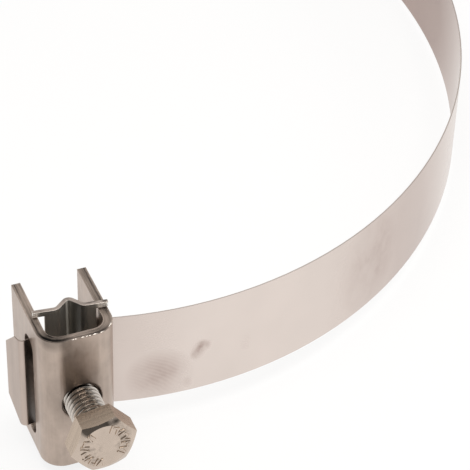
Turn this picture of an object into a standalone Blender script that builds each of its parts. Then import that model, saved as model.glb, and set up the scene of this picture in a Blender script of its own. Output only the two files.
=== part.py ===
"""Earthing pipe clamp: a folded steel head, a hexagon screw, a V-grooved saddle plate and a thin tension band.

The head's own frame has X across the cheeks, Y rearward from the front plate's outer face towards the pipe,
and Z up from the cheeks' lower edges. The pipe would stand upright behind the head, inside the band's loop.
"""
import math

import bpy
import bmesh
from mathutils import Matrix, Vector

MM = 0.001

# Head, one U folded from sheet
HEAD_WIDTH = 17.0 * MM
HEAD_DEPTH = 21.5 * MM
HEAD_HEIGHT = 36.5 * MM
SHEET = 2.0 * MM
FOLD_RADIUS = 3.0 * MM
EDGE_ROUND = 0.25 * MM
CORNER_ROUND = 0.6 * MM

# Slots in the cheeks, and the threaded hole with its drawn collar
SLOT_WIDTH = 5.6 * MM
SLOT_END_PLAY = 1.4 * MM
SLOT_SET_BACK = -0.25 * MM
SLOT_DROP = 1.1 * MM
COLLAR_WALL = 1.0 * MM
COLLAR_LENGTH = 1.8 * MM
MOUTH_ROUND = 1.0 * MM

# Clearances
TOUCH_GAP = 0.3 * MM
SADDLE_SIDE_PLAY = 0.9 * MM

# Saddle plate, pressed from thinner sheet, standing a little askew and hard over to the right
SADDLE_STAND = 8.2 * MM
SADDLE_SHEET = 1.0 * MM
SADDLE_SKEW = math.radians(7.0)
GROOVE_HALF_WIDTH = 2.9 * MM
GROOVE_DEPTH = 3.0 * MM
GROOVE_RADIUS = 1.1 * MM
EAR_LENGTH = 2.6 * MM
EAR_HEIGHT = 1.3 * MM

# Screw with a coarse metric thread up to its head
THREAD_DIAMETER = 8.0 * MM
THREAD_PITCH = 1.25 * MM
SCREW_LENGTH = 16.0 * MM
TIP_CHAMFER = 0.8 * MM
TIP_PLAY = 1.4 * MM
HEX_ACROSS_FLATS = 13.0 * MM
HEX_HEIGHT = 5.3 * MM
HEX_FACE = 0.92
HEX_TURN = math.radians(-9.8)
THREAD_SIDES = 30

# Tension band
BAND_WIDTH = 25.0 * MM
BAND_THICKNESS = 0.3 * MM
BOW_RADIUS = 9.0 * MM
BOW_ANGLE = math.radians(15.0)
HOOK_OUT = 1.1 * MM
HOOK_RADIUS = 1.0 * MM
HOOK_FLARE = math.radians(14.5)
BOW_STEPS = 4
HOOK_STEPS = 10
TAIL_LENGTH = 4.8 * MM
CLIP_TOP_LONG = 3.4 * MM
CLIP_TOP_TALL = 3.6 * MM
CLIP_LOW_LONG = 4.4 * MM
CLIP_LOW_TALL = 5.8 * MM
# the sweep's length, radius where it starts and radius where it ends, from the head outwards
SWEEP = (
    (100.0 * MM, 82.0 * MM, 123.0 * MM),
    (100.0 * MM, 123.0 * MM, 162.0 * MM),
    (110.0 * MM, 162.0 * MM, 400.0 * MM),
    (100.0 * MM, 400.0 * MM, 150.0 * MM),
)
SWEEP_STEP = 4.0 * MM

# What follows from them
INNER_WIDTH = HEAD_WIDTH - 2 * SHEET
MID_HEIGHT = HEAD_HEIGHT / 2
SADDLE_WIDTH = INNER_WIDTH - 2 * SADDLE_SIDE_PLAY
BORE_RADIUS = THREAD_DIAMETER / 2 + TOUCH_GAP
GROOVE_SLOPE = math.atan2(GROOVE_DEPTH, GROOVE_HALF_WIDTH)
GROOVE_RISE = GROOVE_DEPTH - GROOVE_RADIUS * (1 / math.cos(GROOVE_SLOPE) - 1)
CUT_MARGIN = 1.0 * MM


def steel(name, colour, roughness):
    material = bpy.data.materials.new(name)
    material.use_nodes = True
    shader = material.node_tree.nodes["Principled BSDF"]
    shader.inputs["Base Color"].default_value = (*colour, 1.0)
    shader.inputs["Metallic"].default_value = 1.0
    shader.inputs["Roughness"].default_value = roughness
    return material


def add_object(name, bm, parent, material=None):
    mesh = bpy.data.meshes.new(name)
    bmesh.ops.recalc_face_normals(bm, faces=bm.faces)
    bm.to_mesh(mesh)
    bm.free()
    mesh.shade_smooth()
    mesh.set_sharp_from_angle(angle=math.radians(25))
    if material:
        mesh.materials.append(material)
    made = bpy.data.objects.new(name, mesh)
    made.parent = parent
    bpy.context.scene.collection.objects.link(made)
    return made


def as_cutter(made):
    made.hide_render = True
    made.display_type = "WIRE"
    return made


def boolean(target, operation, other):
    modifier = target.modifiers.new(f"{operation.lower()} {other.name}", "BOOLEAN")
    modifier.operation = operation
    modifier.solver = "EXACT"
    modifier.object = other


def solidify(target, thickness):
    modifier = target.modifiers.new("sheet thickness", "SOLIDIFY")
    modifier.thickness = thickness
    modifier.offset = 0.0
    modifier.use_even_offset = True


def round_edges(target, width):
    modifier = target.modifiers.new("broken edges", "BEVEL")
    modifier.width = width
    modifier.segments = 2
    modifier.limit_method = "ANGLE"
    modifier.angle_limit = math.radians(40)


def walk(start, heading, legs):
    """Follow a plan path: each leg is a length, the curvature at its two ends and its number of steps."""
    points = [Vector(start)]
    for length, bend_in, bend_out, steps in legs:
        step = length / steps
        for i in range(steps):
            turn = step * (bend_in + (bend_out - bend_in) * (i + 0.5) / steps)
            heading += turn / 2
            points.append(points[-1] + step * Vector((math.cos(heading), math.sin(heading))))
            heading += turn / 2
    return points


def rounded_path(corners, radii, steps):
    """A plan polyline whose inner corners are arcs of the given radii."""
    points = [Vector(corners[0])]
    for before, corner, after, radius in zip(corners, corners[1:], corners[2:], radii):
        to_before = (Vector(before) - Vector(corner)).normalized()
        to_after = (Vector(after) - Vector(corner)).normalized()
        half = to_before.angle(to_after) / 2
        centre = Vector(corner) + (to_before + to_after).normalized() * radius / math.sin(half)
        first = Vector(corner) + to_before * radius / math.tan(half) - centre
        last = Vector(corner) + to_after * radius / math.tan(half) - centre
        sweep = first.angle_signed(last)
        points += [centre + Matrix.Rotation(-sweep * i / steps, 2) @ first for i in range(steps + 1)]
    return points + [Vector(corners[-1])]


def upright_sheet(points, low, high):
    """The middle surface of an upright strip: one edge drawn out along the plan path."""
    bm = bmesh.new()
    lows = low if callable(low) else lambda i: low
    highs = high if callable(high) else lambda i: high
    feet = (bm.verts.new((*points[0], lows(0))), bm.verts.new((*points[0], highs(0))))
    edge = bm.edges.new(feet)
    for i, point in enumerate(points[1:], start=1):
        drawn = bmesh.ops.extrude_edge_only(bm, edges=[edge])["geom"]
        corners = sorted((v for v in drawn if isinstance(v, bmesh.types.BMVert)), key=lambda v: v.co.z)
        corners[0].co = (*point, lows(i))
        corners[1].co = (*point, highs(i))
        edge = next(e for e in drawn if isinstance(e, bmesh.types.BMEdge) and set(e.verts) == set(corners))
    return bm


def turned(profile, sides):
    """A solid of revolution about Z, from its half profile listed from axis to axis."""
    bm = bmesh.new()
    verts = [bm.verts.new((radius, 0.0, height)) for radius, height in profile]
    edges = [bm.edges.new(pair) for pair in zip(verts, verts[1:])]
    bmesh.ops.spin(bm, geom=verts + edges, cent=(0, 0, 0), axis=(0, 0, 1), angle=math.tau, steps=sides,
                   use_merge=True, use_duplicate=False)
    bmesh.ops.remove_doubles(bm, verts=bm.verts, dist=1e-6)
    return bm


def rounded_block(width, height, length, corner, steps=5):
    """A bar along X with rounded long edges, its section width along Y and height along Z."""
    bm = bmesh.new()
    bmesh.ops.create_cube(bm, size=1.0, matrix=Matrix.Diagonal((length, width, height, 1.0)))
    along = [e for e in bm.edges if abs(e.verts[0].co.x - e.verts[1].co.x) > length / 2]
    bmesh.ops.bevel(bm, geom=along, offset=corner, segments=steps, profile=0.5, affect="EDGES", material=-1)
    return bm


def saddle_shift():
    """How far right the askew saddle lies when its edge meets the right cheek."""
    reach = math.cos(SADDLE_SKEW) * SADDLE_WIDTH / 2 + math.sin(SADDLE_SKEW) * SADDLE_SHEET / 2
    return INNER_WIDTH / 2 - TOUCH_GAP - reach


def saddle_middle():
    """Plan position of the middle of the saddle's sheet, half its thickness behind its front face."""
    return Vector((saddle_shift(), SADDLE_STAND + SADDLE_SHEET / 2))


def band_middle():
    """Plan position of the band where it lies over the back of the saddle's groove."""
    back = GROOVE_RISE + SADDLE_SHEET / 2 + TOUCH_GAP + BAND_THICKNESS / 2
    return saddle_middle() + back * Vector((math.sin(SADDLE_SKEW), math.cos(SADDLE_SKEW)))


def straight_run(from_x, to_x):
    """Length of the band's straight run inside the head, from the end of its bow to a plane across X."""
    return (abs(to_x - from_x) - BOW_RADIUS * math.sin(BOW_ANGLE)) / math.cos(BOW_ANGLE)


def band_height_at(x):
    """Plan Y of the band's straight run where it crosses a plane across X."""
    middle = band_middle()
    drop = BOW_RADIUS * (1 - math.cos(BOW_ANGLE)) + straight_run(middle.x, x) * math.sin(BOW_ANGLE)
    return middle.y - drop


def band_path():
    """Plan points of the band from its clipped left end, through the head and along the sweep."""
    middle = band_middle()
    bow = (BOW_RADIUS * BOW_ANGLE, 1 / BOW_RADIUS, 1 / BOW_RADIUS, BOW_STEPS)
    clips = (abs(CLIP_LOW_LONG - CLIP_TOP_LONG), min(CLIP_LOW_LONG, CLIP_TOP_LONG))
    fold = math.pi / 2 + BOW_ANGLE - HOOK_FLARE
    hook_reach = HEAD_WIDTH / 2 + HOOK_OUT
    left = walk(middle, math.pi, [
        bow,
        (straight_run(middle.x, -hook_reach), 0.0, 0.0, 1),
        (HOOK_RADIUS * fold, -1 / HOOK_RADIUS, -1 / HOOK_RADIUS, HOOK_STEPS),
        (TAIL_LENGTH - sum(clips), 0.0, 0.0, 1),
        *((length, 0.0, 0.0, 1) for length in clips),
    ])
    sweep = [(length, 1 / start, 1 / end, round(length / SWEEP_STEP)) for length, start, end in SWEEP]
    right = walk(middle, 0.0, [
        (bow[0], -bow[1], -bow[2], bow[3]),
        (straight_run(middle.x, HEAD_WIDTH / 2), 0.0, 0.0, 1),
        *sweep,
        *((length, sweep[-1][2], sweep[-1][2], 1) for length in clips),
    ])
    return left[::-1] + right[1:]


def bracket(parent, material):
    """The folded head: front plate, two slotted cheeks, threaded hole with its collar."""
    side = (HEAD_WIDTH - SHEET) / 2
    front = SHEET / 2
    corners = [(-side, HEAD_DEPTH), (-side, front), (side, front), (side, HEAD_DEPTH)]
    bend = FOLD_RADIUS + SHEET / 2
    sheet = upright_sheet(rounded_path(corners, [bend, bend], 12), 0.0, HEAD_HEIGHT)
    made = add_object("clamp_bracket", sheet, parent, material)
    solidify(made, SHEET)

    collar_radius = BORE_RADIUS + COLLAR_WALL
    sunk = SHEET / 2
    collar = as_cutter(add_object("collar_form", turned([
        (0.0, -sunk),
        (collar_radius + SHEET / 4, -sunk),
        (collar_radius + SHEET / 4, 0.0),
        (collar_radius, SHEET / 4),
        (collar_radius, COLLAR_LENGTH),
        (0.0, COLLAR_LENGTH),
    ], 48), parent))
    collar.location = (0.0, SHEET, MID_HEIGHT)
    collar.rotation_euler = (-math.pi / 2, 0.0, 0.0)
    boolean(made, "UNION", collar)

    mouth = [(BORE_RADIUS + MOUTH_ROUND * (1 - math.sin(a)), MOUTH_ROUND * (1 - math.cos(a)))
             for a in (math.radians(90) * i / 4 for i in range(5))]
    through = SHEET + COLLAR_LENGTH + CUT_MARGIN
    bore = as_cutter(add_object("bore_form", turned([
        (0.0, -CUT_MARGIN),
        (mouth[0][0], -CUT_MARGIN),
        *mouth,
        (BORE_RADIUS, through),
        (0.0, through),
    ], 48), parent))
    bore.location = (0.0, 0.0, MID_HEIGHT)
    bore.rotation_euler = (-math.pi / 2, 0.0, 0.0)
    boolean(made, "DIFFERENCE", bore)

    slot_height = BAND_WIDTH + 2 * SLOT_END_PLAY
    slot = as_cutter(add_object("slot_form", rounded_block(
        SLOT_WIDTH, slot_height, HEAD_WIDTH + 2 * CUT_MARGIN, SLOT_WIDTH * 0.48), parent))
    cheek = (HEAD_WIDTH - SHEET) / 2
    band_stand = (band_height_at(-cheek) + band_height_at(cheek)) / 2
    slot.location = (0.0, band_stand + SLOT_SET_BACK, MID_HEIGHT - SLOT_DROP)
    boolean(made, "DIFFERENCE", slot)
    round_edges(made, EDGE_ROUND)
    return made


def saddle(parent, material):
    """The pressed saddle plate: V groove in the middle, notched sides, ears over the cheeks' edges."""
    body = SADDLE_WIDTH / 2
    half = body + EAR_LENGTH
    tall = HEAD_HEIGHT / 2 + TOUCH_GAP + EAR_HEIGHT
    corners = [(-half, 0.0), (-GROOVE_HALF_WIDTH, 0.0), (0.0, GROOVE_DEPTH), (GROOVE_HALF_WIDTH, 0.0), (half, 0.0)]
    radii = [GROOVE_RADIUS + SADDLE_SHEET / 2, GROOVE_RADIUS, GROOVE_RADIUS + SADDLE_SHEET / 2]
    made = add_object("saddle_plate", upright_sheet(rounded_path(corners, radii, 8), -tall, tall), parent, material)
    made.location = (*saddle_middle(), MID_HEIGHT)
    made.rotation_euler = (0.0, 0.0, -SADDLE_SKEW)
    solidify(made, SADDLE_SHEET)

    notch_height = HEAD_HEIGHT + 2 * TOUCH_GAP
    for side_name, side in (("left", -1), ("right", 1)):
        notch_form = rounded_block(SADDLE_SHEET + 2 * CUT_MARGIN, notch_height, 2 * EAR_LENGTH, CORNER_ROUND / 2)
        notch = as_cutter(add_object(f"{side_name}_notch_form", notch_form, made))
        notch.location = (side * (body + EAR_LENGTH), 0.0, 0.0)
        boolean(made, "DIFFERENCE", notch)
    return made


def thread_form(length):
    """A right-hand helical thread about Z, longer than the screw and closed at both ends, to be trimmed."""
    crest = THREAD_DIAMETER / 2
    crest_flat = THREAD_PITCH / 8
    root_flat = THREAD_PITCH / 4
    flank = (THREAD_PITCH - crest_flat - root_flat) / 2
    root = crest - flank * math.tan(math.radians(60))
    profile = [(root, 0.0), (root, root_flat), (crest, root_flat + flank),
               (crest, root_flat + flank + crest_flat), (root, THREAD_PITCH)]
    turns = math.ceil(length / THREAD_PITCH) + 3
    bm = bmesh.new()
    verts = [bm.verts.new((radius, 0.0, height)) for radius, height in profile]
    edges = [bm.edges.new(pair) for pair in zip(verts, verts[1:])]
    bmesh.ops.spin(bm, geom=verts + edges, cent=(0, 0, 0), axis=(0, 0, 1), angle=math.tau * turns,
                   steps=THREAD_SIDES * turns, dvec=(0, 0, THREAD_PITCH / THREAD_SIDES),
                   use_merge=False, use_duplicate=False)
    bmesh.ops.remove_doubles(bm, verts=bm.verts, dist=1e-6)
    rim = [e for e in bm.edges if e.is_boundary]
    top = THREAD_PITCH * (turns + 1)
    for height, ends in ((0.0, [e for e in rim if e.verts[0].co.z < top / 2]),
                         (top, [e for e in rim if e.verts[0].co.z > top / 2])):
        hub = bm.verts.new((0.0, 0.0, height))
        for edge in ends:
            bm.faces.new((*edge.verts, hub))
    bmesh.ops.translate(bm, verts=bm.verts, vec=(0.0, 0.0, -1.5 * THREAD_PITCH))
    return bm


def screw(parent, material):
    """The hexagon screw along its own Z: head behind the origin, threaded shank in front of it."""
    corner = HEX_ACROSS_FLATS / math.sqrt(3)
    head = bmesh.new()
    bmesh.ops.create_cone(head, cap_ends=True, segments=6, radius1=corner, radius2=corner, depth=HEX_HEIGHT)
    first = min(head.verts, key=lambda v: -v.co.x)
    straighten = -math.atan2(first.co.y, first.co.x)
    bmesh.ops.transform(head, matrix=Matrix.Rotation(straighten + HEX_TURN, 4, "Z"), verts=head.verts)
    bmesh.ops.translate(head, verts=head.verts, vec=(0.0, 0.0, -HEX_HEIGHT / 2))
    made = add_object("clamp_screw", head, parent, material)

    flat = HEX_ACROSS_FLATS / 2 * HEX_FACE
    slope = math.tan(math.radians(30))
    wide = corner + CUT_MARGIN
    turning = as_cutter(add_object("head_turning_form", turned([
        (0.0, -HEX_HEIGHT),
        (flat, -HEX_HEIGHT),
        (wide, -HEX_HEIGHT + (wide - flat) * slope),
        (wide, CUT_MARGIN),
        (0.0, CUT_MARGIN),
    ], 60), made))
    boolean(made, "INTERSECT", turning)

    thread = as_cutter(add_object("thread_form", thread_form(SCREW_LENGTH), made))
    outside = THREAD_DIAMETER / 2 + CUT_MARGIN
    sunk = HEX_HEIGHT / 4
    shank = as_cutter(add_object("shank_form", turned([
        (0.0, -sunk),
        (outside, -sunk),
        (outside, SCREW_LENGTH - TIP_CHAMFER - CUT_MARGIN),
        (THREAD_DIAMETER / 2 - TIP_CHAMFER, SCREW_LENGTH),
        (0.0, SCREW_LENGTH),
    ], THREAD_SIDES * 2), made))
    boolean(thread, "INTERSECT", shank)
    boolean(made, "UNION", thread)

    tip_reach = THREAD_DIAMETER / 2 - TIP_CHAMFER
    nearest = SADDLE_STAND - math.tan(SADDLE_SKEW) * (tip_reach - saddle_shift())
    made.location = (0.0, nearest - TIP_PLAY - SCREW_LENGTH, MID_HEIGHT)
    made.rotation_euler = (-math.pi / 2, 0.0, 0.0)
    return made


def band(parent, material):
    """The tension band: one thin strip with clipped corners at both ends."""
    points = band_path()
    runs = [(b - a).length for a, b in zip(points, points[1:])]
    whole = sum(runs)

    def half_height(i, clip_long, clip_tall):
        along = sum(runs[:i])
        from_end = min(along, whole - along)
        return BAND_WIDTH / 2 - clip_tall * max(0.0, 1 - from_end / clip_long)

    strip = upright_sheet(points, lambda i: -half_height(i, CLIP_LOW_LONG, CLIP_LOW_TALL),
                          lambda i: half_height(i, CLIP_TOP_LONG, CLIP_TOP_TALL))
    made = add_object("tension_band", strip, parent, material)
    made.location = (0.0, 0.0, MID_HEIGHT)
    solidify(made, BAND_THICKNESS)
    return made


def stand_on_origin(root, pieces):
    """Move the whole clamp so that the middle of its underside is the origin."""
    bpy.context.view_layer.update()
    seen = bpy.context.evaluated_depsgraph_get()
    places = []
    for piece in pieces:
        shaped = piece.evaluated_get(seen)
        places += [piece.matrix_world @ Vector(corner) for corner in shaped.bound_box]
    low = Vector(min(p[axis] for p in places) for axis in range(3))
    high = Vector(max(p[axis] for p in places) for axis in range(3))
    root.location = (-(low.x + high.x) / 2, -(low.y + high.y) / 2, -low.z)


def main():
    for old in list(bpy.data.objects):
        bpy.data.objects.remove(old)
    root = bpy.data.objects.new("clamp_frame", None)
    bpy.context.scene.collection.objects.link(root)
    head_steel = steel("head_steel", (0.42, 0.36, 0.31), 0.35)
    saddle_steel = steel("saddle_steel", (0.36, 0.32, 0.29), 0.32)
    screw_steel = steel("screw_steel", (0.52, 0.46, 0.40), 0.28)
    band_steel = steel("band_steel", (0.62, 0.56, 0.53), 0.30)
    pieces = [
        bracket(root, head_steel),
        saddle(root, saddle_steel),
        screw(root, screw_steel),
        band(root, band_steel),
    ]
    stand_on_origin(root, pieces)


if __name__ == "__main__":
    main()
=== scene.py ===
"""Looks of the earthing pipe clamp: folded head, saddle plate, hexagon screw and tension band."""
import math
import random

import bmesh
import bpy
from bpy.props import FloatProperty, FloatVectorProperty, PointerProperty
from bpy.types import Operator, Panel, PropertyGroup
from mathutils import Matrix, Vector


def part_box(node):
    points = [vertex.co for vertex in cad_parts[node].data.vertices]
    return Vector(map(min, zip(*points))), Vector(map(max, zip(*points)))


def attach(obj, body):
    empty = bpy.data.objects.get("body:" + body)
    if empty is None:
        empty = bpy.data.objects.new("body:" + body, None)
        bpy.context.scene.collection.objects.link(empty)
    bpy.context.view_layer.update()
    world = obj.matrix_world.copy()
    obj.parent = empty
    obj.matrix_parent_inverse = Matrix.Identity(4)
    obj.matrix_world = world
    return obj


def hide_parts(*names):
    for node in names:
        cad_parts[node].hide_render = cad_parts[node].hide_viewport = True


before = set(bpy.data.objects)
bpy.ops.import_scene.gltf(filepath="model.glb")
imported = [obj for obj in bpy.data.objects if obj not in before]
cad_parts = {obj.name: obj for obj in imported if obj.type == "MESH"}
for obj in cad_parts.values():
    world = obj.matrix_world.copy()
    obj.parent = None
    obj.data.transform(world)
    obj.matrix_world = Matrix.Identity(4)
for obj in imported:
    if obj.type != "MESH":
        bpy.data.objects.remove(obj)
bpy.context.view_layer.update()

bl_info = {
    "name": "Earthing Pipe Clamp",
    "version": (1, 0, 0),
    "blender": (4, 5, 0),
    "location": "View3D > Sidebar > Clamp",
    "description": "Finishes the folded head, saddle plate, screw and band of an earthing pipe clamp",
    "category": "Object",
}

SCREW_LOW, SCREW_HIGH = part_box("clamp_screw")
HEAD_LOW, HEAD_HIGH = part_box("clamp_bracket")
AXIS_X = (SCREW_LOW.x + SCREW_HIGH.x) / 2
AXIS_Z = (SCREW_LOW.z + SCREW_HIGH.z) / 2
HEAD_HALF_WIDTH = (HEAD_HIGH.x - HEAD_LOW.x) / 2

# The folded sheet: its thickness, and the outer radius of its two bends
SHEET = 0.002
FOLD_OUTSIDE = 0.005

# The bottom line of the saddle plate's groove, seen from above
CREASE_X = AXIS_X + 0.00041
CREASE_Y = HEAD_LOW.y + 0.01055

# The screw: height of its hexagon, how far behind the face its chamfer has surely ended, and the radii at
# which the thread's colour goes from painted shade at the root to a painted highlight on the crest
HEX_HEIGHT = 0.0053
HEX_CHAMFER_END = 0.002
THREAD_ROOT = 0.0034
THREAD_CREST = 0.0039

# The burr: how far its middle lies inside the plate's outline, its radius, the step between its places on a
# bend in degrees, and the number of its steps along the front
BURR_INSET = 0.00016
BURR_RADIUS = 0.00015
BURR_BEND_STEP = 8
BURR_FRONT_STEPS = 20

# The burr along X, from the screw's axis: thin on the left bend, nearly bare between the first two places,
# broken after them, and heavier past the third
BURR_BARE_FROM = -0.0066
BURR_BARE_TO = -0.0041
BURR_HEAVIER_FROM = 0.0022

# The strokes on the screw's face: two arcs of the ring in degrees, each with its count
STROKE_ARCS = ((-42.0, 72.0, 13), (128.0, 262.0, 15))
# The pattern that repeats along the arcs: lean in degrees, length and shift outwards
STROKE_PATTERN = (
    (0.0, 0.0021, 0.0),
    (24.0, 0.0019, 0.0001),
    (-18.0, 0.0021, -0.0001),
    (90.0, 0.0012, 0.0005),
)
STROKE_WIDTH = 0.00050


class ClampSizes(PropertyGroup):
    """Small sizes of the finish"""
    mark_ring: FloatProperty(
        name="Mark ring", description="Radius of the ring of strokes on the screw's head",
        default=0.0046, min=0.002, max=0.006, subtype="DISTANCE", unit="LENGTH")
    mark_height: FloatProperty(
        name="Mark height", description="How far the strokes stand out of the head",
        default=0.00022, min=0.00005, max=0.0004, subtype="DISTANCE", unit="LENGTH")
    floor_size: FloatProperty(
        name="Floor size", description="Edge length of the square floor",
        default=6.0, min=1.0, max=20.0, subtype="DISTANCE", unit="LENGTH")
    lean_x: FloatProperty(
        name="Lean to the band",
        description="Slope of the floor towards +X, on which head and band both rest",
        default=math.radians(2.24), min=0.0, max=0.2, subtype="ANGLE", unit="ROTATION")
    lean_y: FloatProperty(
        name="Lean to the back",
        description="Slope of the floor towards +Y, on which head and band both rest",
        default=math.radians(0.85), min=0.0, max=0.2, subtype="ANGLE", unit="ROTATION")


class ClampColours(PropertyGroup):
    """Colours of the steels and of the stage"""
    head: FloatVectorProperty(
        name="Head", description="Reflected colour of the folded head",
        default=(0.49, 0.40, 0.34), min=0.0, max=1.0, size=3, subtype="COLOR")
    saddle: FloatVectorProperty(
        name="Saddle plate", description="Reflected colour of the pressed plate",
        default=(0.56, 0.54, 0.49), min=0.0, max=1.0, size=3, subtype="COLOR")
    screw: FloatVectorProperty(
        name="Screw", description="Reflected colour of the screw",
        default=(0.57, 0.475, 0.40), min=0.0, max=1.0, size=3, subtype="COLOR")
    band: FloatVectorProperty(
        name="Band", description="Reflected colour of the rolled band",
        default=(0.735, 0.65, 0.60), min=0.0, max=1.0, size=3, subtype="COLOR")
    floor: FloatVectorProperty(
        name="Floor", description="Colour of the plain floor",
        default=(0.86, 0.838, 0.815), min=0.0, max=1.0, size=3, subtype="COLOR")


def sizes():
    return bpy.context.scene.clamp_sizes


def colours():
    return bpy.context.scene.clamp_colours


class Nodes:
    """A short way to lay out a material's nodes."""

    def __init__(self, name):
        self.material = bpy.data.materials.new(name)
        self.material.use_nodes = True
        self.tree = self.material.node_tree
        self.shader = self.tree.nodes["Principled BSDF"]
        self.place = self.add("ShaderNodeTexCoord").outputs["Object"]

    def add(self, kind, **settings):
        """A new node of a kind, with its settings."""
        node = self.tree.nodes.new(kind)
        for key, value in settings.items():
            setattr(node, key, value)
        return node

    def join(self, source, target):
        """A link from one socket to another."""
        self.tree.links.new(source, target)

    def noise(self, scale, stretch=(1.0, 1.0, 1.0), detail=4.0, roughness=0.55):
        """Noise on the piece, drawn out along each axis whose stretch is small."""
        mapping = self.add("ShaderNodeMapping")
        mapping.inputs["Scale"].default_value = stretch
        self.join(self.place, mapping.inputs["Vector"])
        noise = self.add("ShaderNodeTexNoise")
        noise.inputs["Scale"].default_value = scale
        noise.inputs["Detail"].default_value = detail
        noise.inputs["Roughness"].default_value = roughness
        self.join(mapping.outputs["Vector"], noise.inputs["Vector"])
        return noise.outputs["Fac"]

    def ranged(self, source, low, high, to_low, to_high):
        """The source with low to high made to_low to to_high, and held there beyond them."""
        node = self.add("ShaderNodeMapRange")
        node.inputs["From Min"].default_value = low
        node.inputs["From Max"].default_value = high
        node.inputs["To Min"].default_value = to_low
        node.inputs["To Max"].default_value = to_high
        self.join(source, node.inputs["Value"])
        return node.outputs["Result"]

    def maths(self, operation, first, second=0.0):
        """One sum on sockets or numbers."""
        node = self.add("ShaderNodeMath", operation=operation)
        for socket, value in zip(node.inputs, (first, second)):
            if isinstance(value, (int, float)):
                socket.default_value = value
            else:
                self.join(value, socket)
        return node.outputs[0]

    def tinted(self, colour, shade):
        """The colour, made lighter and darker by a factor near 1."""
        node = self.add("ShaderNodeVectorMath", operation="SCALE")
        node.inputs[0].default_value = colour
        self.join(shade, node.inputs["Scale"])
        return node.outputs["Vector"]

    def blended(self, mask, first, second):
        """The first colour where the mask is 0, the second where it is 1."""
        node = self.add("ShaderNodeMix", data_type="RGBA")
        self.join(mask, node.inputs["Factor"])
        self.join(first, node.inputs["A"])
        self.join(second, node.inputs["B"])
        return node.outputs["Result"]

    def patch(self, centre, reach, inner=0.3):
        """A soft blob of 1 round a place on the piece, 0 outside its reach along each axis."""
        mapping = self.add("ShaderNodeMapping", vector_type="TEXTURE")
        mapping.inputs["Location"].default_value = centre
        mapping.inputs["Scale"].default_value = reach
        self.join(self.place, mapping.inputs["Vector"])
        length = self.add("ShaderNodeVectorMath", operation="LENGTH")
        self.join(mapping.outputs["Vector"], length.inputs[0])
        return self.ranged(length.outputs["Value"], 1.0, inner, 0.0, 1.0)

    def axis(self, source, letter):
        """One of the three numbers of a place or a direction."""
        node = self.add("ShaderNodeSeparateXYZ")
        self.join(source, node.inputs[0])
        return node.outputs[letter]

    def facing(self, letter, low, high):
        """1 where the surface looks along an axis, either way, 0 where it looks across it."""
        normal = self.add("ShaderNodeNewGeometry").outputs["Normal"]
        return self.ranged(self.maths("ABSOLUTE", self.axis(normal, letter)), low, high, 0.0, 1.0)

    def looks(self, letter, low, high):
        """1 where the surface looks along an axis, 0 where it looks against it."""
        normal = self.add("ShaderNodeNewGeometry").outputs["Normal"]
        return self.ranged(self.axis(normal, letter), low, high, 0.0, 1.0)

    def product(self, *factors):
        """All the factors multiplied."""
        result = factors[0]
        for factor in factors[1:]:
            result = self.maths("MULTIPLY", result, factor)
        return result

    def total(self, *parts):
        """All the parts added."""
        result = parts[0]
        for part in parts[1:]:
            result = self.maths("ADD", result, part)
        return result

    def rest_of(self, mask):
        """1 where the mask is 0, and 0 where it is 1."""
        return self.maths("SUBTRACT", 1.0, mask)

    def bump(self, height, strength, distance, before=None):
        """A normal bent by a height, on top of the bump before it."""
        node = self.add("ShaderNodeBump")
        node.inputs["Strength"].default_value = strength
        node.inputs["Distance"].default_value = distance
        self.join(height, node.inputs["Height"])
        if before:
            self.join(before, node.inputs["Normal"])
        return node.outputs["Normal"]


def sheared_depth(n, waver):
    """How deep a point of a sheared edge lies in the sheet: 0 on the inner face, 1 on the outer face."""
    centred = n.add("ShaderNodeVectorMath", operation="SUBTRACT")
    centred.inputs[1].default_value = (AXIS_X, HEAD_LOW.y + FOLD_OUTSIDE, 0.0)
    n.join(n.place, centred.inputs[0])
    across = n.maths("SUBTRACT", n.maths("ABSOLUTE", n.axis(centred.outputs[0], "X")),
                     HEAD_HALF_WIDTH - FOLD_OUTSIDE)
    forward = n.maths("MULTIPLY", n.axis(centred.outputs[0], "Y"), -1.0)
    reach = n.maths("SQRT", n.total(n.maths("POWER", n.maths("MAXIMUM", across, 0.0), 2.0),
                                    n.maths("POWER", n.maths("MAXIMUM", forward, 0.0), 2.0)))
    return n.maths("ADD", n.ranged(reach, FOLD_OUTSIDE - SHEET, FOLD_OUTSIDE, 0.0, 1.0), waver)


def sheared_streaks(n, depth):
    """Streaks that run along a sheared edge, because the noise changes fast across the sheet's thickness."""
    place = n.add("ShaderNodeCombineXYZ")
    n.join(n.maths("MULTIPLY", depth, 9.0), place.inputs["X"])
    n.join(n.maths("MULTIPLY", n.axis(n.place, "Y"), 130.0), place.inputs["Y"])
    n.join(n.maths("MULTIPLY", n.axis(n.place, "X"), 130.0), place.inputs["Z"])
    streaks = n.add("ShaderNodeTexNoise")
    streaks.inputs["Scale"].default_value = 1.0
    streaks.inputs["Detail"].default_value = 5.0
    n.join(place.outputs[0], streaks.inputs["Vector"])
    return streaks.outputs["Fac"]


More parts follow.
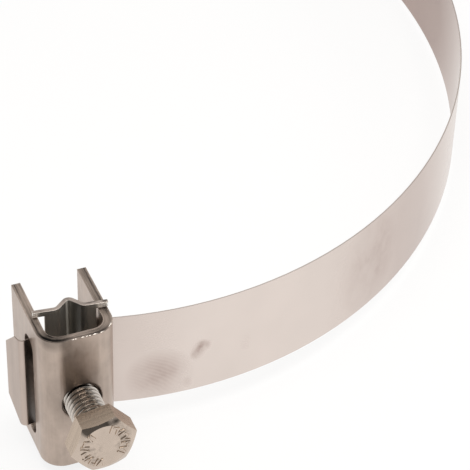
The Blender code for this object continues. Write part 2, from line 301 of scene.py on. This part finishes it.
def head_sheet_steel(name, colour):
    """Satin sheet: cloudy faces, sheared edges with streaks along them and painted highlights and shade,
    painted shade round the screw.
    """
    n = Nodes(name)
    n.shader.inputs["Metallic"].default_value = 0.96
    front = HEAD_LOW.y
    rear = HEAD_HIGH.y
    top = HEAD_HIGH.z
    cloud = n.noise(210.0, (1.0, 1.0, 0.8), 3.0)
    mottle = n.noise(800.0, (1.0, 1.0, 0.6), 5.0, 0.65)
    rolled = n.noise(900.0, (1.0, 1.0, 0.06), 3.0)
    grain = n.noise(5000.0, (1.0, 1.0, 0.3), 2.0)

    # The sheet's faces
    round_hole = n.patch((AXIS_X - 0.0012, front, AXIS_Z + 0.002), (0.0092, 0.0030, 0.0106), inner=0.35)
    # Painted shade round the screw hole, standing for the screw's reflection and shadow in the plate
    painted_screw_shade = n.product(round_hole, n.ranged(mottle, 0.2, 0.8, 0.6, 1.0))
    # Painted dark reflection on the upper middle of the front plate
    painted_reflection_above = n.patch((AXIS_X - 0.0019, front, top - 0.0035), (0.0038, 0.003, 0.0045))
    face = n.total(
        n.ranged(cloud, 0.32, 0.68, 0.90, 1.08),
        n.ranged(mottle, 0.3, 0.7, -0.06, 0.06),
        n.ranged(rolled, 0.3, 0.7, -0.06, 0.06),
        n.product(painted_screw_shade, -0.44),
        n.product(painted_reflection_above, -0.14))

    # The sheared edges: a painted highlight along the outer line, a bright inner line, a painted dark
    # reflection of the rolled edge between them, painted shade on the left fold, darker at the right front,
    # and lighter in two places
    depth = sheared_depth(n, n.ranged(mottle, 0.3, 0.7, -0.04, 0.04))
    streaks = sheared_streaks(n, depth)
    outer_highlight_line = n.ranged(depth, 0.80, 0.95, 0.0, 1.0)
    dark_reflection_line = n.product(n.ranged(depth, 0.45, 0.66, 0.0, 1.0), n.ranged(depth, 0.86, 0.76, 0.0, 1.0))
    inner_line = n.ranged(depth, 0.12, 0.0, 0.0, 1.0)
    # Painted shade on the left fold's rolled edge, also laid on the faces below it
    fold_shade = n.product(n.patch((AXIS_X - 0.0059, front + 0.0013, top), (0.0048, 0.0044, 0.0030), inner=0.45),
                     n.ranged(mottle, 0.25, 0.75, 0.5, 1.0))
    dim_right = n.patch((AXIS_X + 0.0044, front + 0.0004, top), (0.0032, 0.0020, 0.0030))
    # Lighter in two places on the sheared edge
    lighter_places = n.total(n.patch((AXIS_X - 0.0080, front + 0.0155, top), (0.0030, 0.0085, 0.0040)),
                   n.patch((AXIS_X + 0.0076, front + 0.0036, top), (0.0022, 0.0032, 0.0040)))
    cut = n.total(
        n.ranged(streaks, 0.32, 0.68, 0.38, 0.92),
        n.product(outer_highlight_line, 0.08),
        n.product(inner_line, 0.25),
        n.product(dark_reflection_line, -0.25),
        n.product(fold_shade, -0.58),
        n.product(lighter_places, 0.24),
        n.product(dim_right, -0.30))
    edge = n.facing("Z", 0.6, 0.9)

    # The slots' walls get painted shade. They look along Y, as the front plate and the rear edges do, so
    # those are left out
    behind_front = n.ranged(n.axis(n.place, "Y"), front + 0.0040, front + 0.0045, 0.0, 1.0)
    before_rear = n.ranged(n.axis(n.place, "Y"), rear - 0.0015, rear - 0.0010, 1.0, 0.0)
    slot_wall_shade = n.product(n.facing("Y", 0.4, 0.8), behind_front, before_rear)
    shade = n.maths("SUBTRACT", n.rest_of(n.product(slot_wall_shade, 0.55)), n.product(fold_shade, 0.44))

    n.join(n.blended(edge, n.tinted(colour, n.product(face, shade)), n.tinted(colour, cut)),
           n.shader.inputs["Base Color"])
    n.join(n.total(n.ranged(mottle, 0.3, 0.7, 0.31, 0.43), n.product(edge, 0.04), n.product(painted_screw_shade, -0.08)),
           n.shader.inputs["Roughness"])
    fine = n.bump(grain, 0.10, 0.00003)
    n.join(n.bump(n.product(streaks, edge), 0.7, 0.00014, fine), n.shader.inputs["Normal"])
    return n.material


def pressed_steel(name, colour):
    """Thin pressed plate, duller than the head, with a painted highlight down the bottom of its groove and
    painted shade on the flank beside it.
    """
    n = Nodes(name)
    cloud = n.noise(260.0, (1.0, 1.0, 0.5), 3.0)
    drawn = n.noise(1500.0, (1.0, 1.0, 0.05), 3.0)
    # Painted highlight down the groove's bottom, which is also less metallic and rougher there
    painted_crease_highlight = n.patch((CREASE_X, CREASE_Y, 0.02), (0.00042, 0.0009, 0.06), inner=0.4)
    # Painted shade on the flank right of the groove
    painted_flank_shade = n.patch((CREASE_X + 0.0019, CREASE_Y - 0.0016, 0.02), (0.0021, 0.0030, 0.06), inner=0.55)
    # Painted shade over the highlight of the flank's bend
    bend = n.patch((CREASE_X + 0.0024, CREASE_Y - 0.0022, 0.02), (0.0009, 0.0020, 0.06), inner=0.4)
    # Painted light: the ears, from 6 to 6.6 mm out from the middle onwards, are made much lighter than the
    # groove
    from_middle = n.maths("ABSOLUTE", n.maths("SUBTRACT", n.axis(n.place, "X"), AXIS_X))
    shade = n.total(
        n.ranged(cloud, 0.3, 0.7, 0.90, 1.05),
        n.ranged(drawn, 0.3, 0.7, -0.06, 0.06),
        n.product(painted_crease_highlight, 0.6),
        n.product(painted_flank_shade, -0.54),
        n.product(bend, -0.07),
        n.ranged(from_middle, 0.0060, 0.0066, 0.0, 1.2))

    # The sheared top edge is warmer, and the right ear has painted shade at its bent-up corner and is darker
    # along its rear
    edge = n.facing("Z", 0.5, 0.9)
    sheared = (colour[0] * 1.10, colour[1] * 0.97, colour[2] * 0.95)
    ear_top = HEAD_HIGH.z + 0.0016
    ear_corner_shade_and_rear_line = n.total(
        n.patch((AXIS_X + 0.0081, HEAD_LOW.y + 0.0081, ear_top), (0.0009, 0.0011, 0.0010)),
        n.patch((AXIS_X + 0.0056, HEAD_LOW.y + 0.0086, ear_top), (0.0021, 0.0005, 0.0008), inner=0.4))
    undarkened = n.rest_of(n.product(ear_corner_shade_and_rear_line, 0.72))

    n.join(n.blended(edge, n.tinted(colour, n.product(shade, undarkened)),
                     n.tinted(sheared, n.product(n.ranged(cloud, 0.3, 0.7, 0.52, 0.86), undarkened))),
           n.shader.inputs["Base Color"])
    n.join(n.total(n.ranged(drawn, 0.3, 0.7, 0.30, 0.42), n.product(painted_crease_highlight, 0.20)),
           n.shader.inputs["Roughness"])
    n.join(n.maths("SUBTRACT", 0.80, n.product(painted_crease_highlight, 0.55)), n.shader.inputs["Metallic"])
    n.join(n.bump(drawn, 0.12, 0.00003), n.shader.inputs["Normal"])
    return n.material


def from_screw_axis(n):
    """How far a point lies from the screw's axis."""
    moved = n.add("ShaderNodeVectorMath", operation="SUBTRACT")
    moved.inputs[1].default_value = (AXIS_X, 0.0, AXIS_Z)
    flat = n.add("ShaderNodeVectorMath", operation="MULTIPLY")
    flat.inputs[1].default_value = (1.0, 0.0, 1.0)
    length = n.add("ShaderNodeVectorMath", operation="LENGTH")
    n.join(n.place, moved.inputs[0])
    n.join(moved.outputs[0], flat.inputs[0])
    n.join(flat.outputs[0], length.inputs[0])
    return length.outputs["Value"]


def screw_steel(name, colour):
    """Cold-formed screw: clean face, a painted dark reflection on the chamfer, flats drawn lengthwise,
    painted shade in the thread's roots and a painted highlight on its crests.
    """
    n = Nodes(name)
    n.shader.inputs["Metallic"].default_value = 1.0
    front = SCREW_LOW.y
    stain = n.noise(330.0)
    drag = n.noise(700.0, (0.03, 2.4, 0.03), 4.0, 0.65)
    dents = n.noise(1500.0, detail=2.0)
    face = n.facing("Y", 0.75, 0.95)

    # The head: brown flats, a painted dark reflection on the chamfer's upper side, and darkening round the
    # strokes that is dirt in part and painted shade of their relief in part
    flats = n.ranged(drag, 0.3, 0.7, 0.77, 1.04)
    slanted = n.facing("Y", 0.72, 0.80)
    chamfer = n.product(slanted, n.rest_of(n.facing("Y", 0.955, 0.985)))
    chamfer_dark_reflection = n.total(
        n.patch((AXIS_X - 0.0021, front, AXIS_Z + 0.0058), (0.0038, 0.004, 0.0024), inner=0.75),
        n.patch((AXIS_X + 0.0027, front, AXIS_Z + 0.0061), (0.0017, 0.004, 0.0008), inner=0.2))
    round_strokes = n.total(
        n.patch((AXIS_X + 0.0038, front, AXIS_Z + 0.0010), (0.0024, 0.003, 0.0046), inner=0.5),
        n.patch((AXIS_X - 0.0028, front, AXIS_Z - 0.0016), (0.0027, 0.003, 0.0038), inner=0.5))
    # Darker round the strokes: dirt in part, painted shade of their relief in part
    stroke_dirt_and_shade = n.product(round_strokes, n.ranged(n.noise(1100.0), 0.42, 0.62, 0.0, 0.30))
    undarkened = n.rest_of(n.total(n.product(chamfer_dark_reflection, chamfer, 0.80), stroke_dirt_and_shade))
    clean = n.ranged(stain, 0.3, 0.7, 0.93, 1.05)
    brown = (colour[0] * 0.96, colour[1] * 0.92, colour[2] * 0.86)
    head = n.blended(slanted, n.tinted(brown, flats), n.tinted(colour, n.product(clean, undarkened)))

    # The thread: the distance from the axis tells its roots from its crests, with painted shade in the roots
    # and a painted highlight on the crests
    crest = n.ranged(from_screw_axis(n), THREAD_ROOT, THREAD_CREST, 0.34, 1.36)
    shank = n.ranged(n.axis(n.place, "Y"), front + HEX_HEIGHT, front + HEX_HEIGHT + 0.0001, 0.0, 1.0)
    grey = (colour[0] * 0.84, colour[0] * 0.77, colour[0] * 0.70)

    n.join(n.blended(shank, head, n.tinted(grey, n.product(crest, clean))), n.shader.inputs["Base Color"])
    n.join(n.total(n.ranged(dents, 0.3, 0.7, 0.25, 0.31), n.product(shank, -0.07)),
           n.shader.inputs["Roughness"])
    soft = n.bump(dents, 0.02, 0.00003)
    drawn = n.product(drag, n.rest_of(face), n.rest_of(shank))
    n.join(n.bump(drawn, 0.2, 0.00005, soft), n.shader.inputs["Normal"])
    return n.material


def print_ridges(n):
    """Fine curved ridges, as a fingertip leaves them."""
    ridges = n.add("ShaderNodeTexWave", wave_type="RINGS", rings_direction="Y")
    ridges.inputs["Scale"].default_value = 430.0
    ridges.inputs["Distortion"].default_value = 3.0
    ridges.inputs["Detail"].default_value = 1.0
    turned = n.add("ShaderNodeMapping")
    turned.inputs["Location"].default_value = (0.0455, 0.0, 0.002)
    turned.inputs["Scale"].default_value = (0.6, 1.0, 1.0)
    n.join(n.place, turned.inputs["Vector"])
    n.join(turned.outputs["Vector"], ridges.inputs["Vector"])
    return n.ranged(ridges.outputs["Fac"], 0.2, 0.8, 0.80, 1.0)


def band_marks_and_shade(n, blot, haze):
    """The marks on the band's outer face: a finger's print and smudges beside it, and painted dark reflection
    and painted shade on two stretches.
    """
    broken = n.ranged(blot, 0.38, 0.60, 0.35, 1.0)
    cloudy = n.ranged(haze, 0.40, 0.62, 0.25, 1.0)
    finger = n.patch((-0.0449, -0.144, 0.0133), (0.0082, 0.02, 0.0084), inner=0.05)
    smudge_top = n.patch((-0.0351, -0.144, 0.0197), (0.0024, 0.02, 0.0021), inner=0.1)
    smudge_low = n.patch((-0.0361, -0.144, 0.0180), (0.0020, 0.02, 0.0023), inner=0.1)
    spot_left = n.patch((-0.0384, -0.144, 0.0100), (0.0013, 0.02, 0.0020), inner=0.2)
    spot_right = n.patch((-0.0243, -0.144, 0.0168), (0.0016, 0.02, 0.0032), inner=0.2)
    cloud = n.patch((0.0115, -0.132, 0.0205), (0.0110, 0.02, 0.0150), inner=0.1)
    # Painted dark reflection on the band's right, standing for the shaded floor it mirrors
    painted_dark_reflection = n.patch((0.0270, -0.121, 0.0200), (0.0380, 0.03, 0.0600), inner=0.2)
    # Painted shade on the band beside the head
    painted_shade_by_head = n.patch((-0.0530, -0.144, 0.0200), (0.0150, 0.02, 0.0600), inner=0.2)
    return n.total(
        n.product(finger, print_ridges(n), cloudy, 0.52),
        n.product(smudge_top, broken, 0.60),
        n.product(smudge_low, broken, 0.52),
        n.product(spot_left, broken, 0.18),
        n.product(spot_right, broken, 0.10),
        n.product(cloud, cloudy, broken, 0.30),
        n.product(painted_dark_reflection, 0.25),
        n.product(painted_shade_by_head, 0.09))


def band_steel(name, colour):
    """Bright rolled strip with lines along its length, handled places, painted dark reflections and shade,
    and a duller tail beside the head.
    """
    n = Nodes(name)
    n.shader.inputs["Metallic"].default_value = 1.0
    lines = n.noise(30.0, (0.5, 0.5, 200.0), 3.0, 0.6)
    haze = n.noise(60.0, (1.0, 1.0, 0.8), 4.0, 0.6)
    blot = n.noise(260.0, (1.0, 1.0, 0.7), 4.0, 0.7)
    upright = n.noise(700.0, (1.0, 1.0, 0.06), 3.0)

    # The loop: marks and painted dark reflections on its outer face, and a painted dark reflection of a
    # darker room on a stretch of its inner face
    outside = n.looks("Y", 0.2, -0.2)
    inside = n.looks("X", 0.2, -0.2)
    far_stretch = n.patch((0.0770, -0.025, 0.0180), (0.0320, 0.075, 0.0450))
    marks_and_painted_shade = n.total(n.product(band_marks_and_shade(n, blot, haze), outside), n.product(far_stretch, inside, 0.52))
    speck = n.ranged(n.noise(1300.0, detail=1.0), 0.77, 0.80, 0.0, 0.10)
    rolled = n.total(n.ranged(lines, 0.3, 0.7, 0.997, 1.003), n.ranged(haze, 0.3, 0.7, -0.03, 0.025),
                     n.product(speck, -1.0))

    # The part inside the left slot gets little light, least of all at its lower end
    across = n.maths("SUBTRACT", n.axis(n.place, "X"), AXIS_X)
    cheek = -HEAD_HALF_WIDTH
    hidden = n.product(n.ranged(across, cheek - 0.0016, cheek - 0.0008, 0.0, 0.68),
                       n.ranged(across, cheek + 0.0040, cheek + 0.0015, 0.0, 1.0),
                       n.ranged(n.axis(n.place, "Z"), 0.010, 0.030, 1.18, 0.74))
    shade = n.product(rolled, n.rest_of(hidden))
    marks_and_shade_colour = (colour[0] * 0.22, colour[1] * 0.08, colour[2] * 0.05)
    strip = n.blended(marks_and_painted_shade, n.tinted(colour, shade), n.tinted(marks_and_shade_colour, shade))

    # The tail outside the left cheek, with a painted highlight along its bend
    tail = n.ranged(across, cheek - 0.0012, cheek - 0.0015, 0.0, 1.0)
    tail_colour = (colour[0] * 0.66, colour[1] * 0.62, colour[2] * 0.59)
    bend = n.product(n.ranged(across, cheek - 0.0013, cheek - 0.0016, 0.0, 1.0),
                     n.ranged(across, cheek - 0.0025, cheek - 0.0020, 0.0, 1.0))
    tail_shade = n.total(n.ranged(blot, 0.3, 0.7, 0.95, 1.03), n.ranged(upright, 0.3, 0.7, -0.07, 0.07),
                         n.product(bend, 0.10))

    n.join(n.blended(tail, strip, n.tinted(tail_colour, tail_shade)), n.shader.inputs["Base Color"])
    n.join(n.total(n.ranged(lines, 0.3, 0.7, 0.25, 0.27), n.product(marks_and_painted_shade, 0.25), n.product(tail, 0.06)),
           n.shader.inputs["Roughness"])
    n.join(n.bump(lines, 0.005, 0.00003), n.shader.inputs["Normal"])
    return n.material


def white_floor(name, colour):
    """Pale floor that the camera and mirror-like metal see as paper white, with a soft shadow."""
    n = Nodes(name)
    n.shader.inputs["Base Color"].default_value = (*colour, 1.0)
    n.shader.inputs["Roughness"].default_value = 0.9
    n.shader.inputs["Specular IOR Level"].default_value = 0.0
    glow = n.add("ShaderNodeEmission")
    glow.inputs["Strength"].default_value = 1.02
    path = n.add("ShaderNodeLightPath").outputs
    seen = n.total(path["Is Camera Ray"], path["Is Glossy Ray"], path["Is Transmission Ray"])
    mix = n.add("ShaderNodeMixShader")
    n.join(n.maths("MULTIPLY", seen, 0.82), mix.inputs[0])
    n.join(n.shader.outputs[0], mix.inputs[1])
    n.join(glow.outputs[0], mix.inputs[2])
    n.join(mix.outputs[0], n.tree.nodes["Material Output"].inputs["Surface"])
    return n.material


def finished_copy(node, name, material, sharp):
    """The node's own form with its loose triangles joined, its flats whole and its curves smooth."""
    bm = bmesh.new()
    bm.from_mesh(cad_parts[node].data)
    bmesh.ops.remove_doubles(bm, verts=bm.verts, dist=1e-6)
    bmesh.ops.dissolve_limit(bm, angle_limit=math.radians(0.4), verts=bm.verts, edges=bm.edges)
    mesh = bpy.data.meshes.new(name)
    bm.to_mesh(mesh)
    bm.free()
    mesh.shade_smooth()
    mesh.set_sharp_from_angle(angle=math.radians(sharp))
    mesh.materials.append(material)
    piece = bpy.data.objects.new(name, mesh)
    bpy.context.scene.collection.objects.link(piece)
    weighted = piece.modifiers.new("flat faces stay flat", "WEIGHTED_NORMAL")
    weighted.keep_sharp = True
    return piece


def takes_place(piece, node, body):
    """The finished piece rides on the body and stands for the node, which is hidden."""
    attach(piece, body)
    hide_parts(node)


def burr_path():
    """Places along the front plate's outer top edge, seen from above, from the left bend to the right one."""
    half = HEAD_HALF_WIDTH - BURR_INSET
    bend = FOLD_OUTSIDE - BURR_INSET
    front = HEAD_LOW.y + BURR_INSET
    centre = HEAD_LOW.y + FOLD_OUTSIDE
    straight = half - bend
    places = []
    for i in range(4, 11):
        angle = math.radians(BURR_BEND_STEP * i)
        places.append((AXIS_X - half + bend - bend * math.cos(angle), centre - bend * math.sin(angle)))
    for i in range(1, BURR_FRONT_STEPS):
        places.append((AXIS_X - straight + 2 * straight * i / BURR_FRONT_STEPS, front))
    for i in range(9):
        angle = math.radians(90 - BURR_BEND_STEP * i)
        places.append((AXIS_X + half - bend + bend * math.cos(angle), centre - bend * math.sin(angle)))
    return places


def shear_burr(material):
    """The uneven burr that the shear left along the outer top edge of the front plate."""
    rng = random.Random(7)
    places = burr_path()
    curve = bpy.data.curves.new("shear_burr", "CURVE")
    curve.dimensions = "3D"
    curve.bevel_depth = BURR_RADIUS
    curve.bevel_resolution = 2
    curve.resolution_u = 2
    curve.use_fill_caps = True
    spline = curve.splines.new("NURBS")
    spline.points.add(len(places) - 1)
    spline.use_endpoint_u = True
    for point, (x, y) in zip(spline.points, places):
        swing = rng.uniform(-0.00007, 0.00007)
        inwards = rng.uniform(0.0, 0.0001)
        height = HEAD_HIGH.z - 0.00008 + rng.uniform(-0.00006, 0.00004)
        point.co = (x + swing, y + inwards, height, 1.0)
        side = x - AXIS_X
        if side > BURR_BARE_TO:
            point.radius = rng.choice((0.15, 0.4, 0.8, 1.3)) * (1.3 if side > BURR_HEAVIER_FROM else 1.0)
        else:
            point.radius = 0.35 if side < BURR_BARE_FROM else 0.08
    wire = bpy.data.objects.new("shear_burr", curve)
    mesh = bpy.data.meshes.new_from_object(wire)
    bpy.data.objects.remove(wire)
    mesh.materials.clear()
    mesh.materials.append(material)
    mesh.shade_smooth()
    burr = bpy.data.objects.new("shear_burr", mesh)
    bpy.context.scene.collection.objects.link(burr)
    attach(burr, "clamp")


def bevelled(piece, width, angle):
    """Break the piece's edges that are sharper than the angle, before its normals are weighted."""
    modifier = piece.modifiers.new("broken edges", "BEVEL")
    modifier.width = width
    modifier.segments = 2
    modifier.limit_method = "ANGLE"
    modifier.angle_limit = math.radians(angle)
    modifier.harden_normals = True
    piece.modifiers.move(len(piece.modifiers) - 1, 0)


class CLAMP_OT_head(Operator):
    """Finish the folded head"""
    bl_idname = "clamp.head"
    bl_label = "Folded head"

    def execute(self, context):
        steel = head_sheet_steel("head satin steel", tuple(colours().head))
        piece = finished_copy("clamp_bracket", "folded_head", steel, sharp=50.0)
        takes_place(piece, "clamp_bracket", "clamp")
        shear_burr(screw_steel("burr bright steel", (0.78, 0.70, 0.64)))
        return {"FINISHED"}


class CLAMP_OT_saddle(Operator):
    """Finish the pressed saddle plate"""
    bl_idname = "clamp.saddle"
    bl_label = "Saddle plate"

    def execute(self, context):
        steel = pressed_steel("saddle pressed steel", tuple(colours().saddle))
        piece = finished_copy("saddle_plate", "pressed_saddle", steel, sharp=30.0)
        bevelled(piece, width=0.00012, angle=50.0)
        takes_place(piece, "saddle_plate", "saddle")
        return {"FINISHED"}


def stroke(bm, angle, radius, lean, length, height):
    """One raised stroke on the screw's face, at an angle round the ring and leaning out of its spoke."""
    turn = Matrix.Rotation(-angle, 4, "Y")
    face = SCREW_LOW.y + sizes().mark_height
    place = Matrix.Translation((AXIS_X, face, AXIS_Z)) @ turn @ Matrix.Translation((radius, 0.0, 0.0))
    shape = place @ Matrix.Rotation(lean, 4, "Y") @ Matrix.Diagonal((length, height * 2, STROKE_WIDTH, 1.0))
    made = bmesh.ops.create_cube(bm, size=1.0, matrix=shape)
    edges = {e for v in made["verts"] for e in v.link_edges}
    bmesh.ops.bevel(bm, geom=list(edges), offset=height * 0.55, segments=2, profile=0.5, affect="EDGES",
                    material=-1)


def ring_of_strokes(material):
    """The strokes on the screw's face as one piece that turns with the screw."""
    bm = bmesh.new()
    ring = sizes().mark_ring
    high = sizes().mark_height
    for first, last, count in STROKE_ARCS:
        for i in range(count):
            angle = math.radians(first + (last - first) * i / (count - 1))
            lean, length, shift = STROKE_PATTERN[i % len(STROKE_PATTERN)]
            stroke(bm, angle, ring + shift, math.radians(lean), length, high)
    mesh = bpy.data.meshes.new("head_strokes")
    bm.to_mesh(mesh)
    bm.free()
    mesh.shade_smooth()
    mesh.materials.append(material)
    strokes = bpy.data.objects.new("head_strokes", mesh)
    bpy.context.scene.collection.objects.link(strokes)
    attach(strokes, "screw")


def sink_face(piece):
    """Set the screw's face and chamfer back by the strokes' height, and narrow the face's ring a little."""
    for v in piece.data.vertices:
        if v.co.y < SCREW_LOW.y + 1e-5:
            v.co.x = AXIS_X + (v.co.x - AXIS_X) * 0.96
            v.co.z = AXIS_Z + (v.co.z - AXIS_Z) * 0.96
        if v.co.y < SCREW_LOW.y + HEX_CHAMFER_END:
            v.co.y += sizes().mark_height


class CLAMP_OT_screw(Operator):
    """Finish the hexagon screw and stamp its head with a ring of plain strokes"""
    bl_idname = "clamp.screw"
    bl_label = "Hexagon screw"

    def execute(self, context):
        steel = screw_steel("screw cold-formed steel", tuple(colours().screw))
        piece = finished_copy("clamp_screw", "hexagon_screw", steel, sharp=24.0)
        sink_face(piece)
        bevelled(piece, width=0.00009, angle=55.0)
        takes_place(piece, "clamp_screw", "screw")
        ring_of_strokes(steel)
        return {"FINISHED"}


class CLAMP_OT_band(Operator):
    """Finish the tension band"""
    bl_idname = "clamp.band"
    bl_label = "Tension band"

    def execute(self, context):
        steel = band_steel("band rolled steel", tuple(colours().band))
        piece = finished_copy("tension_band", "rolled_band", steel, sharp=40.0)
        takes_place(piece, "tension_band", "clamp")
        return {"FINISHED"}


def soft_box(name, place, aim, width, height, watts):
    """A warm white area light at a place, turned to its aim."""
    data = bpy.data.lights.new(name, "AREA")
    data.shape = "RECTANGLE"
    data.size = width
    data.size_y = height
    data.energy = watts
    data.color = (1.0, 0.985, 0.965)
    lamp = bpy.data.objects.new(name, data)
    lamp.location = place
    lamp.rotation_euler = (Vector(aim) - Vector(place)).to_track_quat("-Z", "Y").to_euler()
    bpy.context.scene.collection.objects.link(lamp)


def studio_world():
    """Soft light from above, the sides and the back, dim in front where the camera stands."""
    world = bpy.data.worlds.new("studio")
    world.use_nodes = True
    tree = world.node_tree
    room = tree.nodes["Background"]
    room.inputs["Color"].default_value = (1.0, 0.985, 0.97, 1.0)
    parts = tree.nodes.new("ShaderNodeSeparateXYZ")
    tree.links.new(tree.nodes.new("ShaderNodeTexCoord").outputs["Generated"], parts.inputs[0])
    fade = tree.nodes.new("ShaderNodeMapRange")
    fade.interpolation_type = "SMOOTHSTEP"
    for socket, value in (("From Min", -0.80), ("From Max", -0.15), ("To Min", 0.15), ("To Max", 0.62)):
        fade.inputs[socket].default_value = value
    tree.links.new(parts.outputs["Y"], fade.inputs["Value"])
    tree.links.new(fade.outputs["Result"], room.inputs["Strength"])
    bpy.context.scene.world = world


def resting_floor():
    """A floor with the slope on which the clamp comes to rest, just under its lowest points."""
    slope_x = math.tan(sizes().lean_x)
    slope_y = math.tan(sizes().lean_y)
    low = min(v.co.z - slope_x * v.co.x - slope_y * v.co.y
              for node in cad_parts.values() for v in node.data.vertices)
    half = sizes().floor_size / 2
    bm = bmesh.new()
    bmesh.ops.create_grid(bm, x_segments=1, y_segments=1, size=half)
    for v in bm.verts:
        v.co.z = low + slope_x * v.co.x + slope_y * v.co.y
    mesh = bpy.data.meshes.new("floor")
    bm.to_mesh(mesh)
    bm.free()
    mesh.materials.append(white_floor("floor white", tuple(colours().floor)))
    floor = bpy.data.objects.new("floor", mesh)
    bpy.context.scene.collection.objects.link(floor)


def photo_camera():
    """The photograph's view: its place and its own right, up and backward directions."""
    data = bpy.data.cameras.new("photo_camera")
    data.lens = 162.19
    data.sensor_width = 36.0
    data.clip_start = 0.01
    head = Vector((AXIS_X, HEAD_LOW.y, HEAD_LOW.z))
    place = head + Vector((-0.102649, -0.314475, 0.335881))
    right = Vector((0.924919, -0.379226, 0.026707))
    up = Vector((0.221475, 0.594602, 0.772914))
    back = right.cross(up)
    camera = bpy.data.objects.new("photo_camera", data)
    camera.matrix_world = Matrix.Translation(place) @ Matrix((right, up, back)).transposed().to_4x4()
    bpy.context.scene.collection.objects.link(camera)
    bpy.context.scene.camera = camera


class CLAMP_OT_stage(Operator):
    """Set the floor, the lights and the camera"""
    bl_idname = "clamp.stage"
    bl_label = "Stage"

    def execute(self, context):
        context.scene.view_settings.view_transform = "Standard"
        photo_camera()
        resting_floor()
        studio_world()
        soft_box("overhead softbox", place=(-0.05, -0.22, 0.46), aim=(-0.03, -0.16, 0.0),
                 width=0.40, height=0.30, watts=1.55)
        soft_box("right softbox", place=(0.45, -0.02, 0.28), aim=(0.02, -0.10, 0.0),
                 width=0.25, height=0.25, watts=0.5)
        return {"FINISHED"}


class CLAMP_PT_panel(Panel):
    """The clamp's pieces and sizes"""
    bl_idname = "CLAMP_PT_panel"
    bl_label = "Earthing Pipe Clamp"
    bl_space_type = "VIEW_3D"
    bl_region_type = "UI"
    bl_category = "Clamp"

    def draw(self, context):
        for group in (context.scene.clamp_sizes, context.scene.clamp_colours):
            column = self.layout.column(align=True)
            for name in group.__annotations__:
                column.prop(group, name)
        column = self.layout.column(align=True)
        for operator in OPERATORS:
            column.operator(operator.bl_idname)


OPERATORS = (CLAMP_OT_head, CLAMP_OT_saddle, CLAMP_OT_screw, CLAMP_OT_band, CLAMP_OT_stage)
CLASSES = (ClampSizes, ClampColours, *OPERATORS, CLAMP_PT_panel)


def register():
    for cls in CLASSES:
        bpy.utils.register_class(cls)
    bpy.types.Scene.clamp_sizes = PointerProperty(type=ClampSizes)
    bpy.types.Scene.clamp_colours = PointerProperty(type=ClampColours)


def unregister():
    del bpy.types.Scene.clamp_colours
    del bpy.types.Scene.clamp_sizes
    for cls in reversed(CLASSES):
        bpy.utils.unregister_class(cls)


def main():
    register()
    bpy.ops.clamp.head()
    bpy.ops.clamp.saddle()
    bpy.ops.clamp.screw()
    bpy.ops.clamp.band()
    bpy.ops.clamp.stage()


if __name__ == "__main__":
    main()
